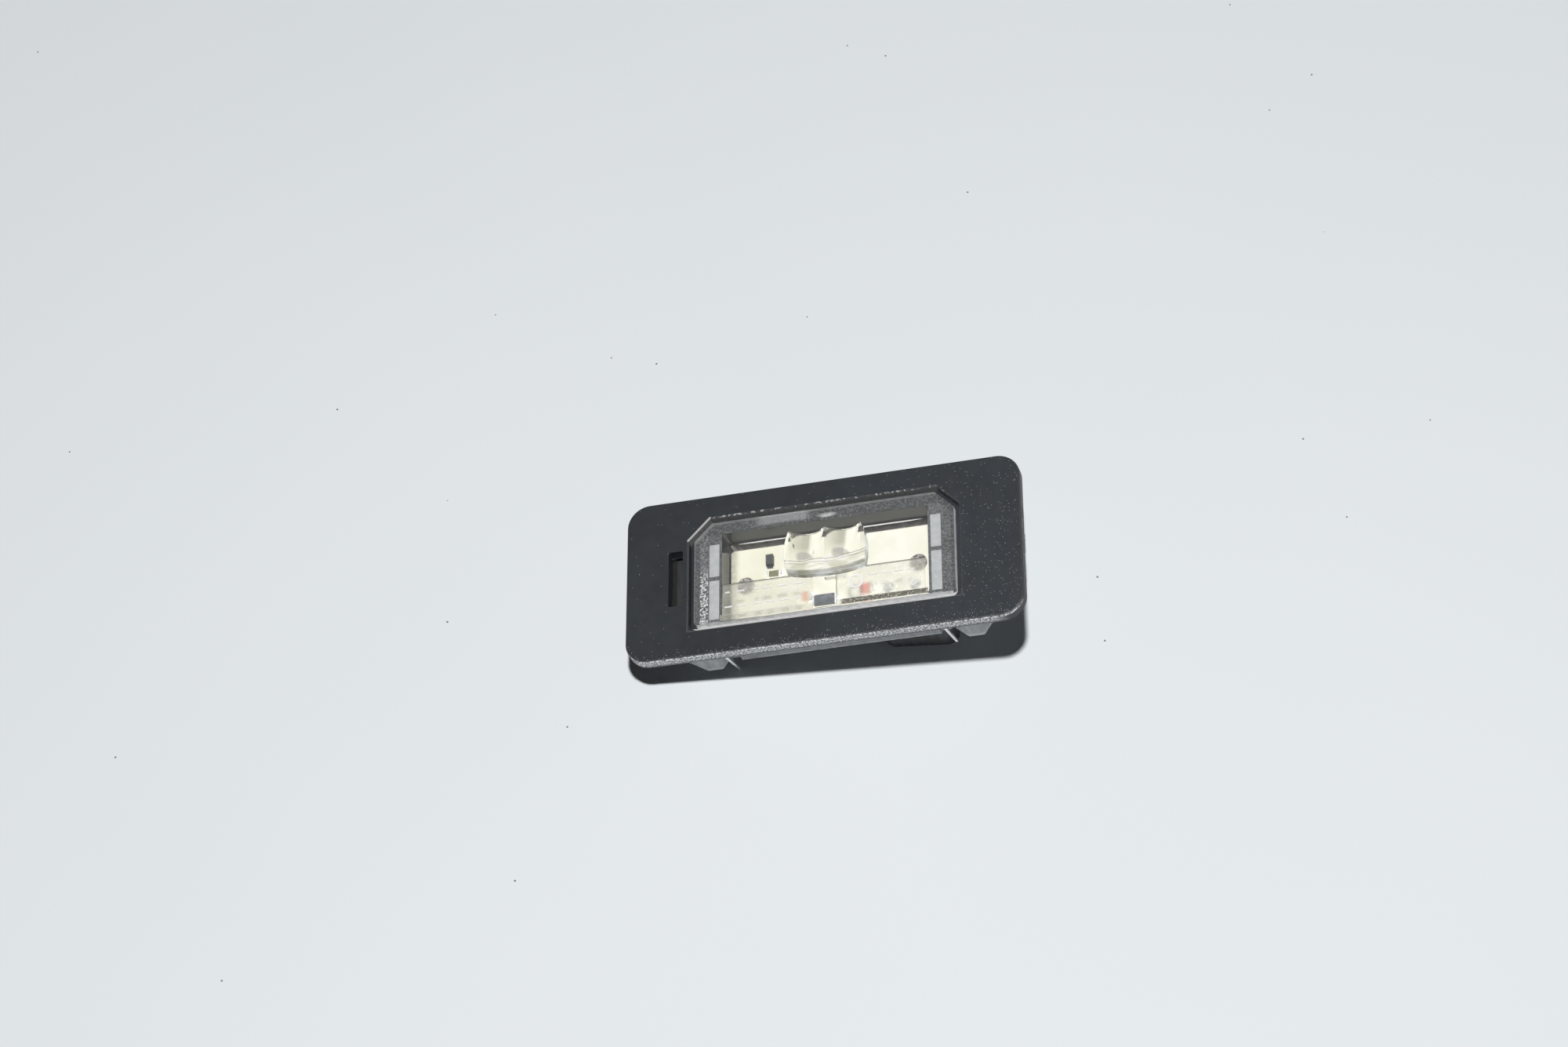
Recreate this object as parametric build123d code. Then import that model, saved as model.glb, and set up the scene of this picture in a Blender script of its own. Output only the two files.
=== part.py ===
"""Number plate lamp for a car: a black clip-in housing with a clear lens over one LED on a white board.

Frame: millimetres, +Z out of the lens, +X along the flange towards the rigid hook, +Y towards the
lens's two chamfered corners. The origin is the middle of the flange's underside, which lies on the
panel, so all that goes through the panel's cut-out has a negative Z.
"""
import os

from build123d import *

# Flange: the frame that covers the edge of the panel's cut-out.
FLANGE_LENGTH = 82.0
FLANGE_WIDTH = 36.0
FLANGE_THICKNESS = 2.5
FLANGE_CORNER = 4.8
FLANGE_EDGE_ROUND = 0.5

# Lens: a plate sunk flush into the flange, with a groove all round it.
LENS_LENGTH = 54.0
LENS_SIDE_MARGIN = 6.6
LENS_THICKNESS = 2.0
LENS_BOND_GAP = 0.05
LENS_CHAMFER = 3.8
LENS_CORNER = 0.9
LENS_EDGE_ROUND = 0.25
LENS_X = 0.3
LENS_Y = 0.35
LENS_GROOVE = 1.1
OPENING_CHAMFER = 0.3

# Border of the lens that lies on the ledge round the lamp's window.
BORDER_END = 5.6
BORDER_BACK = 2.25
BORDER_FRONT = 0.9
WINDOW_CORNER = 0.8

# Two shallow marking fields in the lens's front half, with a clear gap between them.
FIELD_DEPTH = 0.2
FIELD_BACK_Y = -2.8
FIELD_MARGIN = 0.5
FIELD_GAP_LEFT = -1.75
FIELD_GAP_RIGHT = 2.95
FIELD_CUT = 1.4

# Lip along the back of the window, with the cavity cut further back below it.
LIP_DEPTH = 5.0
LIP_UNDERCUT = 1.1

# Optic: a cushion that stands out of the lens, with two flutes that run out towards its front lip.
OPTIC_X = 1.3
OPTIC_BACK_Y = 6.1
OPTIC_FRONT_Y = -3.0
OPTIC_BACK_LENGTH = 14.8
OPTIC_FRONT_LENGTH = 16.0
OPTIC_SIDE_BULGE = 0.9
OPTIC_FRONT_BULGE = 1.0
OPTIC_HEIGHT = 2.4
OPTIC_LIP_ROUND = 1.9
OPTIC_ROOT = 0.4
FLUTE_RADIUS = 4.2
FLUTE_BACK_DEPTH = 2.2
FLUTE_END_Y = -0.3
FLUTE_PITCH = 7.4

# Rear body behind the flange.
PLINTH_WALL = 0.9
PLINTH_DEPTH = 1.8
END_WALL = 1.8
FLANGE_OVERHANG = 5.0
BODY_CORNER = 1.2
BODY_REAR_CHAMFER = 0.6
REAR_WALL = 2.0

# Circuit board on standoffs, held by two staked posts.
BOARD_DROP = 5.8
BOARD_THICKNESS = 1.6
BOARD_CLEARANCE = 0.2
BOARD_BACK_GAP = 1.1
BOARD_CORNER = 0.8
BOARD_STANDOFF = 2.9
STAKE_SPACING = 36.0
STAKE_Y = 0.0
STAKE_RADIUS = 1.0
STAKE_CLEARANCE = 0.1
STAKE_BOSS_RADIUS = 2.2
STAKE_HEAD_RADIUS = 1.8
STAKE_HEAD_HEIGHT = 0.9
STAKE_HEAD_CHAMFER = 0.5
BOARD_RIB_X = 8.0
BOARD_RIB_LENGTH = 14.0
BOARD_RIB_THICKNESS = 1.0

# Strips that bond the lens to the ledge, two at each end of the window.
STRIP_OFFSET = 0.5
STRIP_WIDTH = 2.2
STRIP_THICKNESS = 0.4
STRIP_FRONT_MARGIN = 0.35
STRIP_BACK_MARGIN = 2.2
STRIP_GAP = 0.8
STRIP_GAP_Y = -0.5

# Guide blocks at the four corners of the body, outside the pockets of the prongs.
POCKET_INSET = 2.4
POCKET_DEPTH = 1.0
POCKET_LEFT = 2.0
POCKET_RIGHT = 3.3
GUIDE_PROUD = 1.2
GUIDE_LATCH_GAP = 0.8
GUIDE_LENGTH = 8.2
GUIDE_NOSE = 2.1
GUIDE_BEVEL_LENGTH = 2.3
GUIDE_BEVEL_DEPTH = 1.1
GUIDE_TAIL = 2.9
GUIDE_TAIL_HEIGHT = 5.0

# Retaining prongs: bowed spring wires pressed into the flange.
PRONG_RADIUS = 0.35
PRONG_INSETS = {"left": 1.4, "right": 2.2}
PRONG_PROUD = 1.4
PRONG_BOW = 0.9
PRONG_TIP_IN = 1.2
PRONG_SEAT = 1.3
PRONG_STRAIGHT = 2.4
PRONG_BOW_DEPTH = 5.0
PRONG_OVERREACH = 2.9
PRONG_BEND = 1.5
PRONG_TIP_CHAMFER = 0.18
PRONG_CLEARANCE = 0.02

# Release slot in the flange and the latch spring behind it.
SLOT_BAR = 1.2
SLOT_WIDTH = 3.0
SLOT_LENGTH = 12.4
SLOT_CORNER = 0.4
LATCH_WIDTH = 14.4
LATCH_THICKNESS = 0.6
LATCH_BEND = 1.2
LATCH_NOSE_REACH = 6.1
LATCH_NOSE_DEPTH = 4.4
LATCH_TAIL_DEPTH = 2.1
LATCH_TAIL_START = 1.2
LATCH_TAIL_END = 0.7
LATCH_RISE = 2.4
LATCH_FOOT = 1.5
LATCH_CLEARANCE = 0.05
RAIL_WALL = 1.2
RAIL_LIP = 0.8
RAIL_LENGTH = 5.8

# Rigid hook at the far end, which goes under the panel first.
HOOK_INSET = 1.0
HOOK_Y = 1.5
HOOK_WIDTH = 4.2
HOOK_GAP = 3.2
HOOK_THICKNESS = 2.4
HOOK_NOSE = 0.9
HOOK_WEB = 1.6

# Plug socket on the back and its two blades.
SOCKET_X = 14.6
SOCKET_Y = -4.5
SOCKET_LENGTH = 12.4
SOCKET_WIDTH = 7.8
SOCKET_WALL = 1.3
SOCKET_DEPTH = 11.2
SOCKET_CORNER = 1.2
LOCK_WIDTH = 4.0
LOCK_HEIGHT = 1.1
LOCK_LENGTH = 2.6
LOCK_INSET = 2.2
BLADE_PITCH = 5.4
BLADE_WIDTH = 2.8
BLADE_THICKNESS = 0.8
BLADE_SHORT = 1.8
BLADE_POINT = 0.3
BLADE_SHOULDER = 3.8
BLADE_SHOULDER_HEIGHT = 1.2
BLADE_CLEARANCE = 0.03
TAIL_WIDTH = 1.0
TAIL_STICKOUT = 0.8
TAIL_HOLE_RADIUS = 0.75
SOLDER_RADIUS = 1.25
SOLDER_TOP_RADIUS = 0.75
SOLDER_HEIGHT = 0.6

# LED under the optic.
LED_SIZE = 4.4
LED_HEIGHT = 1.4
LED_Y = 1.0
LED_ROUND = 0.3
PHOSPHOR_RADIUS = 1.7
PHOSPHOR_DEPTH = 0.5

# Other parts on the board as (x, y, length along X, width along Y, height).
DIODE = (-12.6, 4.9, 1.6, 2.4, 1.2)
CAPACITOR = (-5.1, -4.4, 1.8, 1.7, 1.1)
VARISTOR = (7.3, -4.35, 2.8, 2.0, 1.0)
RESISTOR = (-1.2, -5.6, 4.9, 2.3, 0.7)
CHIP_RESISTOR = (-11.8, 1.95, 2.7, 1.2, 0.5)
CHIP_ROUND = 0.12
DIODE_LEAD_WIDTH = 1.2
DIODE_LEAD_LENGTH = 0.4
DIODE_LEAD_HEIGHT = 0.35
DIODE_DRAFT = 6.0

# Levels and places that follow from the sizes above.
FRONT_Z = FLANGE_THICKNESS
LENS_BACK_Z = FRONT_Z - LENS_THICKNESS
LENS_WIDTH = FLANGE_WIDTH - 2 * LENS_SIDE_MARGIN
SEAT_Z = LENS_BACK_Z - LENS_BOND_GAP
BOARD_TOP = SEAT_Z - BOARD_DROP
BOARD_BOTTOM = BOARD_TOP - BOARD_THICKNESS
FLOOR_Z = BOARD_BOTTOM - BOARD_STANDOFF
REAR_Z = FLOOR_Z - REAR_WALL
MOUTH_Z = REAR_Z - SOCKET_DEPTH
WINDOW_LENGTH = LENS_LENGTH - 2 * BORDER_END
WINDOW_LOW_Y = LENS_Y - LENS_WIDTH / 2 + BORDER_FRONT
WINDOW_HIGH_Y = LENS_Y + LENS_WIDTH / 2 - BORDER_BACK
WINDOW_WIDTH = WINDOW_HIGH_Y - WINDOW_LOW_Y
WINDOW_Y = (WINDOW_LOW_Y + WINDOW_HIGH_Y) / 2
BODY_LENGTH = WINDOW_LENGTH + 2 * END_WALL
BODY_WIDTH = FLANGE_WIDTH - 2 * FLANGE_OVERHANG
GUIDE_Y = BODY_WIDTH / 2 + GUIDE_PROUD
GUIDE_DEPTH = GUIDE_Y - LATCH_WIDTH / 2 - GUIDE_LATCH_GAP
PRONG_Y = BODY_WIDTH / 2 + PRONG_PROUD
POCKET_START = BODY_LENGTH / 2 - POCKET_INSET
OPENING_END = LENS_LENGTH / 2 + LENS_GROOVE
SLOT_X = LENS_X - OPENING_END - SLOT_BAR - SLOT_WIDTH / 2
BLADE_TIP_Z = MOUTH_Z + BLADE_SHORT
ENDS = {"left": -1, "right": 1}
SIDES = {"front": -1, "back": 1}
POCKETS = {"left": POCKET_LEFT, "right": POCKET_RIGHT}
BLADES = {"left": SOCKET_X - BLADE_PITCH / 2, "right": SOCKET_X + BLADE_PITCH / 2}


def block(x, y, z):
    """A box between two limits on each axis."""
    size = [high - low for low, high in (x, y, z)]
    middle = [(high + low) / 2 for low, high in (x, y, z)]
    return Pos(*middle) * Box(*size)


def around(middle, size):
    """The two limits of a length about its middle."""
    return (middle - size / 2, middle + size / 2)


def side_profile(points, y, width):
    """A prism along Y from an outline of (x, z) points."""
    outline = make_face(Polyline(*points, close=True))
    return Pos(0, y, 0) * extrude(Plane.XZ * outline, amount=width / 2, both=True)


def lens_outline(grow=0.0):
    """The lens's outline in plan, with two chamfered back corners, grown evenly on all sides."""
    half_length = LENS_LENGTH / 2
    half_width = LENS_WIDTH / 2
    points = [
        (-half_length, -half_width),
        (half_length, -half_width),
        (half_length, half_width - LENS_CHAMFER),
        (half_length - LENS_CHAMFER, half_width),
        (LENS_CHAMFER - half_length, half_width),
        (-half_length, half_width - LENS_CHAMFER),
    ]
    face = make_face(Polyline(*points, close=True))
    face = fillet(face.vertices().group_by(Axis.Y)[0], LENS_CORNER)
    if grow:
        face = offset(face, amount=grow, kind=Kind.INTERSECTION)
    return Pos(LENS_X, LENS_Y, 0) * face


def window_outline():
    """The lamp's window in plan, through which the board shows."""
    return Pos(LENS_X, WINDOW_Y, 0) * RectangleRounded(WINDOW_LENGTH, WINDOW_WIDTH, WINDOW_CORNER)


def board_outline():
    """The circuit board in plan, which stops short of the lip along the window's back."""
    length = WINDOW_LENGTH - 2 * BOARD_CLEARANCE
    width = WINDOW_WIDTH - BOARD_CLEARANCE - BOARD_BACK_GAP
    middle = WINDOW_LOW_Y + BOARD_CLEARANCE + width / 2
    return Pos(LENS_X, middle, 0) * RectangleRounded(length, width, BOARD_CORNER)


def raised(face, low, high):
    """A prism over a plan outline between two levels."""
    return Pos(0, 0, low) * extrude(face, amount=high - low)


def flange():
    """The flange with rounded front edges."""
    plate = extrude(RectangleRounded(FLANGE_LENGTH, FLANGE_WIDTH, FLANGE_CORNER), FLANGE_THICKNESS)
    front = plate.faces().sort_by(Axis.Z)[-1]
    return fillet(front.edges(), FLANGE_EDGE_ROUND)


def rear_body():
    """The box behind the flange, with a pocket for a prong at each corner."""
    box = block(around(LENS_X, BODY_LENGTH), around(0, BODY_WIDTH), (REAR_Z, 0))
    box = fillet(box.edges().filter_by(Axis.Z), BODY_CORNER)
    box = chamfer(box.faces().sort_by(Axis.Z)[0].edges(), BODY_REAR_CHAMFER)
    for end, way in ENDS.items():
        near = LENS_X + way * POCKET_START
        far = LENS_X + way * (POCKET_START + POCKETS[end])
        for side in SIDES.values():
            wall = side * (BODY_WIDTH / 2 - POCKET_DEPTH)
            beyond = side * FLANGE_WIDTH / 2
            box -= block(sorted((near, far)), sorted((wall, beyond)), (REAR_Z, -PLINTH_DEPTH))
    return box


def guide_block(end, side):
    """One corner's guide block, with a bevelled nose towards the prong and a sloped tail."""
    way = ENDS[end]
    root = LENS_X + way * (POCKET_START + POCKETS[end])
    points = [
        (root, 0),
        (root, REAR_Z + GUIDE_NOSE),
        (root + way * GUIDE_NOSE, REAR_Z),
        (root + way * (GUIDE_LENGTH - GUIDE_TAIL), REAR_Z),
        (root + way * GUIDE_LENGTH, REAR_Z + GUIDE_TAIL_HEIGHT),
        (root + way * GUIDE_LENGTH, 0),
    ]
    sign = SIDES[side]
    profile = side_profile(points, sign * (GUIDE_Y - GUIDE_DEPTH / 2), GUIDE_DEPTH)
    bevel_points = [
        (root, sign * GUIDE_Y),
        (root + way * GUIDE_BEVEL_LENGTH, sign * GUIDE_Y),
        (root, sign * (GUIDE_Y - GUIDE_BEVEL_DEPTH)),
    ]
    return profile - raised(make_face(Polyline(*bevel_points, close=True)), REAR_Z, 0)


def latch_rails():
    """The channel on the body's end that the latch spring's foot slides into from behind."""
    wall_x = LENS_X - BODY_LENGTH / 2
    channel = LATCH_THICKNESS + 2 * LATCH_CLEARANCE
    inner = LATCH_WIDTH / 2 + LATCH_CLEARANCE
    out_x = wall_x - channel - RAIL_LIP
    levels = (-PLINTH_DEPTH - RAIL_LENGTH, -PLINTH_DEPTH)
    rails = block((out_x, wall_x), around(0, 2 * (inner + RAIL_WALL)), levels)
    rails -= block((wall_x - channel, wall_x), around(0, 2 * inner), levels)
    return rails - block((out_x, wall_x), around(0, LATCH_WIDTH - 2 * RAIL_LIP), levels)


def hook():
    """The rigid hook, a tongue on a web that leaves a gap for the panel under the flange."""
    root = LENS_X + BODY_LENGTH / 2
    tip = FLANGE_LENGTH / 2 - HOOK_INSET
    top = -HOOK_GAP
    low = top - HOOK_THICKNESS
    tongue_points = [
        (root, top),
        (tip - HOOK_NOSE, top),
        (tip, top - HOOK_NOSE),
        (tip, low),
        (root, REAR_Z + BODY_REAR_CHAMFER),
    ]
    tongue = side_profile(tongue_points, HOOK_Y, HOOK_WIDTH)
    return tongue + block((root, LENS_X + OPENING_END), around(HOOK_Y, HOOK_WEB), (top, 0))


def socket():
    """The plug's shroud on the back of the body, with a locking ramp on one long side."""
    plan = Pos(SOCKET_X, SOCKET_Y, 0) * RectangleRounded(
        SOCKET_LENGTH + 2 * SOCKET_WALL, SOCKET_WIDTH + 2 * SOCKET_WALL, SOCKET_CORNER + SOCKET_WALL
    )
    shroud = raised(plan, MOUTH_Z, REAR_Z)
    ramp_points = [
        (0, MOUTH_Z + LOCK_INSET),
        (LOCK_HEIGHT, MOUTH_Z + LOCK_INSET + LOCK_LENGTH),
        (0, MOUTH_Z + LOCK_INSET + LOCK_LENGTH),
    ]
    face = Plane.YZ * make_face(Polyline(*ramp_points, close=True))
    ramp = extrude(face, amount=LOCK_WIDTH / 2, both=True)
    edge_y = SOCKET_Y + SOCKET_WIDTH / 2 + SOCKET_WALL
    return shroud + Pos(SOCKET_X, edge_y, 0) * ramp


def board_supports():
    """Bosses with staked posts and two ribs that carry the board above the floor."""
    solids = []
    for way in ENDS.values():
        place = Pos(LENS_X + way * STAKE_SPACING / 2, STAKE_Y, 0)
        boss = Circle(STAKE_BOSS_RADIUS)
        solids.append(place * raised(boss, FLOOR_Z, BOARD_BOTTOM))
        solids.append(place * raised(Circle(STAKE_RADIUS), BOARD_BOTTOM, BOARD_TOP))
        head = raised(Circle(STAKE_HEAD_RADIUS), BOARD_TOP, BOARD_TOP + STAKE_HEAD_HEIGHT)
        head = chamfer(head.faces().sort_by(Axis.Z)[-1].edges(), STAKE_HEAD_CHAMFER)
        solids.append(place * head)
        rib_x = LENS_X + way * BOARD_RIB_X
        rib_span = around(WINDOW_Y, BOARD_RIB_LENGTH)
        solids.append(block(around(rib_x, BOARD_RIB_THICKNESS), rib_span, (FLOOR_Z, BOARD_BOTTOM)))
    return solids


def strip_spans():
    """Name and plan limits of each bonding strip on the ledge."""
    spans = {}
    for end, way in ENDS.items():
        inner = WINDOW_LENGTH / 2 + STRIP_OFFSET
        x = sorted((LENS_X + way * inner, LENS_X + way * (inner + STRIP_WIDTH)))
        gap_low, gap_high = around(STRIP_GAP_Y, STRIP_GAP)
        spans[f"lens_bond_strip_upper_{end}"] = (x, (gap_high, WINDOW_HIGH_Y - STRIP_BACK_MARGIN))
        spans[f"lens_bond_strip_lower_{end}"] = (x, (WINDOW_LOW_Y + STRIP_FRONT_MARGIN, gap_low))
    return spans


def prong_places():
    """Name, plan place and side of each retaining prong."""
    places = {}
    for end, way in ENDS.items():
        for side, sign in SIDES.items():
            x = LENS_X + way * (POCKET_START + PRONG_INSETS[end])
            places[f"retaining_prong_{side}_{end}"] = (x, sign)
    return places


def housing():
    """The one-piece black moulding."""
    body = flange()
    body += raised(lens_outline(LENS_GROOVE + PLINTH_WALL), -PLINTH_DEPTH, 0)
    body += rear_body()
    for end in ENDS:
        for side in SIDES:
            body += guide_block(end, side)
    body += latch_rails()
    body += hook()
    body += socket()
    opening = lens_outline(LENS_GROOVE)
    body -= raised(opening, SEAT_Z, FRONT_Z)
    body -= Pos(0, 0, FRONT_Z - OPENING_CHAMFER) * extrude(opening, amount=OPENING_CHAMFER, taper=-45)
    body -= raised(window_outline(), FLOOR_Z, SEAT_Z)
    undercut_x = around(LENS_X, WINDOW_LENGTH - 2 * WINDOW_CORNER)
    undercut_y = (WINDOW_Y, WINDOW_HIGH_Y + LIP_UNDERCUT)
    body -= block(undercut_x, undercut_y, (FLOOR_Z, SEAT_Z - LIP_DEPTH))
    for x, y in strip_spans().values():
        body -= block(x, y, (SEAT_Z - STRIP_THICKNESS, SEAT_Z))
    slot = Pos(SLOT_X, 0, 0) * RectangleRounded(SLOT_WIDTH, SLOT_LENGTH, SLOT_CORNER)
    body -= raised(slot, 0, FRONT_Z)
    cup = Pos(SOCKET_X, SOCKET_Y, 0) * RectangleRounded(SOCKET_LENGTH, SOCKET_WIDTH, SOCKET_CORNER)
    body -= raised(cup, MOUTH_Z, REAR_Z)
    for x in BLADES.values():
        slit_x = around(x, BLADE_THICKNESS + 2 * BLADE_CLEARANCE)
        slit_y = around(SOCKET_Y, BLADE_WIDTH + 2 * BLADE_CLEARANCE)
        body -= block(slit_x, slit_y, (REAR_Z, FLOOR_Z))
    for x, side in prong_places().values():
        hole = Pos(x, side * PRONG_Y, 0) * Circle(PRONG_RADIUS + PRONG_CLEARANCE)
        body -= raised(hole, 0, PRONG_SEAT)
    for solid in board_supports():
        body += solid
    return body


def optic():
    """The cushion with bulged sides, a rounded front lip and two flutes that are deepest at its back."""
    back = OPTIC_BACK_LENGTH / 2
    front = OPTIC_FRONT_LENGTH / 2
    side_x = max(back, front) + OPTIC_SIDE_BULGE / 2
    side_y = (OPTIC_BACK_Y + OPTIC_FRONT_Y) / 2
    nose_y = OPTIC_FRONT_Y - 2 * OPTIC_FRONT_BULGE
    outline = [
        Line((-back, OPTIC_BACK_Y), (back, OPTIC_BACK_Y)),
        ThreePointArc((back, OPTIC_BACK_Y), (side_x, side_y), (front, OPTIC_FRONT_Y)),
        Polyline((front, OPTIC_FRONT_Y), (front, nose_y), (-front, nose_y), (-front, OPTIC_FRONT_Y)),
        ThreePointArc((-front, OPTIC_FRONT_Y), (-side_x, side_y), (-back, OPTIC_BACK_Y)),
    ]
    levels = (FRONT_Z - OPTIC_ROOT, FRONT_Z + OPTIC_HEIGHT)
    lip_radius = (front**2 + OPTIC_FRONT_BULGE**2) / (2 * OPTIC_FRONT_BULGE)
    lip_y = OPTIC_FRONT_Y - OPTIC_FRONT_BULGE + lip_radius
    disc = raised(Pos(0, lip_y, 0) * Circle(lip_radius), *levels)
    disc = fillet(disc.faces().sort_by(Axis.Z)[-1].edges(), OPTIC_LIP_ROUND)
    cushion = raised(make_face(outline), *levels) & disc
    crest = FRONT_Z + OPTIC_HEIGHT + FLUTE_RADIUS
    for way in ENDS.values():
        x = way * FLUTE_PITCH / 2
        deep_end = Vector(x, OPTIC_BACK_Y, crest - FLUTE_BACK_DEPTH)
        run = deep_end - Vector(x, FLUTE_END_Y, crest)
        start = Plane(origin=deep_end, z_dir=run)
        cushion -= extrude(start * Circle(FLUTE_RADIUS), amount=2 * run.length, both=True)
    return Pos(OPTIC_X, 0, 0) * cushion


def marking_fields():
    """The two shallow fields sunk into the front half of the lens, each with one cut corner."""
    low = WINDOW_LOW_Y + FIELD_MARGIN
    left_end = LENS_X - WINDOW_LENGTH / 2 + FIELD_MARGIN
    right_end = LENS_X + WINDOW_LENGTH / 2 - FIELD_MARGIN
    fields = []
    for outer, inner in ((left_end, FIELD_GAP_LEFT), (right_end, FIELD_GAP_RIGHT)):
        way = 1 if inner > outer else -1
        points = [
            (outer, FIELD_BACK_Y),
            (inner, FIELD_BACK_Y),
            (inner, low + FIELD_CUT),
            (inner - way * FIELD_CUT, low),
            (outer, low),
        ]
        face = make_face(Polyline(*points, close=True))
        fields.append(raised(face, FRONT_Z - FIELD_DEPTH, FRONT_Z))
    return fields


def lens():
    """The clear moulding: plate and optic in one piece."""
    plate = raised(lens_outline(), LENS_BACK_Z, FRONT_Z)
    plate = fillet(plate.faces().sort_by(Axis.Z)[-1].edges(), LENS_EDGE_ROUND)
    for field in marking_fields():
        plate -= field
    return plate + optic()


def bond_strip(x, y):
    """One strip, level with the ledge that its pocket is sunk into."""
    return block(x, y, (SEAT_Z - STRIP_THICKNESS, SEAT_Z))


def circuit_board():
    """The white board, with holes for the posts and for the blades' tails."""
    board = raised(board_outline(), BOARD_BOTTOM, BOARD_TOP)
    for way in ENDS.values():
        hole = Pos(LENS_X + way * STAKE_SPACING / 2, STAKE_Y, 0) * Circle(STAKE_RADIUS + STAKE_CLEARANCE)
        board -= raised(hole, BOARD_BOTTOM, BOARD_TOP)
    for x in BLADES.values():
        board -= raised(Pos(x, SOCKET_Y, 0) * Circle(TAIL_HOLE_RADIUS), BOARD_BOTTOM, BOARD_TOP)
    return board


def led_package():
    """The LED's body with the round cup that holds the phosphor."""
    x = around(OPTIC_X, LED_SIZE)
    y = around(LED_Y, LED_SIZE)
    body = block(x, y, (BOARD_TOP, BOARD_TOP + LED_HEIGHT))
    body = fillet(body.edges().filter_by(Axis.Z), LED_ROUND)
    return body - led_phosphor()


def led_phosphor():
    """The phosphor fill, level with the top of its cup."""
    top = BOARD_TOP + LED_HEIGHT
    return raised(Pos(OPTIC_X, LED_Y, 0) * Circle(PHOSPHOR_RADIUS), top - PHOSPHOR_DEPTH, top)


def chip(x, y, length, width, height):
    """A small block-shaped part that stands on the board."""
    body = block(around(x, length), around(y, width), (BOARD_TOP, BOARD_TOP + height))
    return fillet(body.faces().sort_by(Axis.Z)[-1].edges(), CHIP_ROUND)


def diode(x, y, length, width, height):
    """The diode: a drafted body with a flat lead at each end."""
    base = Pos(x, y, BOARD_TOP) * Rectangle(length, width)
    body = extrude(base, amount=height, taper=DIODE_DRAFT)
    span = around(y, width + 2 * DIODE_LEAD_LENGTH)
    return body + block(around(x, DIODE_LEAD_WIDTH), span, (BOARD_TOP, BOARD_TOP + DIODE_LEAD_HEIGHT))


def blade_tail(x):
    """The narrow end of a blade that goes up through the board."""
    levels = (FLOOR_Z + BLADE_SHOULDER_HEIGHT, BOARD_TOP + TAIL_STICKOUT)
    return block(around(x, BLADE_THICKNESS), around(SOCKET_Y, TAIL_WIDTH), levels)


def plug_blade(x):
    """One blade: pointed tip in the socket, shoulder on the floor and tail through the board."""
    gauge = around(x, BLADE_THICKNESS)
    blade = block(gauge, around(SOCKET_Y, BLADE_WIDTH), (BLADE_TIP_Z, FLOOR_Z))
    blade = chamfer(blade.faces().sort_by(Axis.Z)[0].edges(), BLADE_POINT)
    blade += block(gauge, around(SOCKET_Y, BLADE_SHOULDER), (FLOOR_Z, FLOOR_Z + BLADE_SHOULDER_HEIGHT))
    return blade + blade_tail(x)


def solder_joint(x):
    """The solder cone round a blade's tail on top of the board."""
    cone = Cone(SOLDER_RADIUS, SOLDER_TOP_RADIUS, SOLDER_HEIGHT)
    return Pos(x, SOCKET_Y, BOARD_TOP + SOLDER_HEIGHT / 2) * cone - blade_tail(x)


def latch_spring():
    """The bent steel strip: foot in the rails, leg out to the nose, and a tail back under the slot."""
    half = LATCH_THICKNESS / 2
    foot_x = LENS_X - BODY_LENGTH / 2 - LATCH_CLEARANCE - half
    foot_top = -PLINTH_DEPTH - LATCH_CLEARANCE
    foot_low = REAR_Z + LATCH_FOOT
    leg_x = foot_x - 2 * LATCH_BEND - RAIL_LIP
    nose_x = SLOT_X - LATCH_NOSE_REACH
    route = FilletPolyline(
        (foot_x, 0, foot_top),
        (foot_x, 0, foot_low),
        (leg_x, 0, foot_low),
        (nose_x, 0, foot_low + LATCH_RISE),
        (nose_x, 0, -LATCH_NOSE_DEPTH),
        (SLOT_X - LATCH_TAIL_START, 0, -LATCH_TAIL_DEPTH - half),
        (SLOT_X + LATCH_TAIL_END, 0, -LATCH_TAIL_DEPTH - half),
        radius=LATCH_BEND,
    )
    start = Plane(origin=route @ 0, x_dir=(0, 1, 0), z_dir=route % 0)
    return sweep(start * Rectangle(LATCH_WIDTH, LATCH_THICKNESS), path=route)


def retaining_prong(x, side):
    """One prong: straight in its hole, bowed out behind the panel and drawn in to its chamfered tip."""
    tip_z = REAR_Z - PRONG_OVERREACH
    route = FilletPolyline(
        (x, side * PRONG_Y, PRONG_SEAT),
        (x, side * PRONG_Y, -PRONG_STRAIGHT),
        (x, side * (PRONG_Y + PRONG_BOW), -PRONG_BOW_DEPTH),
        (x, side * (PRONG_Y - PRONG_TIP_IN), tip_z),
        radius=PRONG_BEND,
    )
    start = Plane(origin=route @ 0, z_dir=route % 0)
    wire = sweep(start * Circle(PRONG_RADIUS), path=route)
    return chamfer(wire.faces().sort_by(Axis.Z)[0].edges(), PRONG_TIP_CHAMFER)


def all_parts():
    """Every node's solid by its name."""
    parts = {"housing": housing(), "lens": lens()}
    for name, (x, y) in strip_spans().items():
        parts[name] = bond_strip(x, y)
    parts["circuit_board"] = circuit_board()
    parts["led_package"] = led_package()
    parts["led_phosphor"] = led_phosphor()
    parts["protection_diode"] = diode(*DIODE)
    parts["filter_capacitor"] = chip(*CAPACITOR)
    parts["surge_varistor"] = chip(*VARISTOR)
    parts["power_resistor"] = chip(*RESISTOR)
    parts["chip_resistor"] = chip(*CHIP_RESISTOR)
    for name, x in BLADES.items():
        parts[f"plug_blade_{name}"] = plug_blade(x)
        parts[f"solder_joint_{name}"] = solder_joint(x)
    parts["latch_spring"] = latch_spring()
    for name, (x, side) in prong_places().items():
        parts[name] = retaining_prong(x, side)
    return parts


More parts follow.
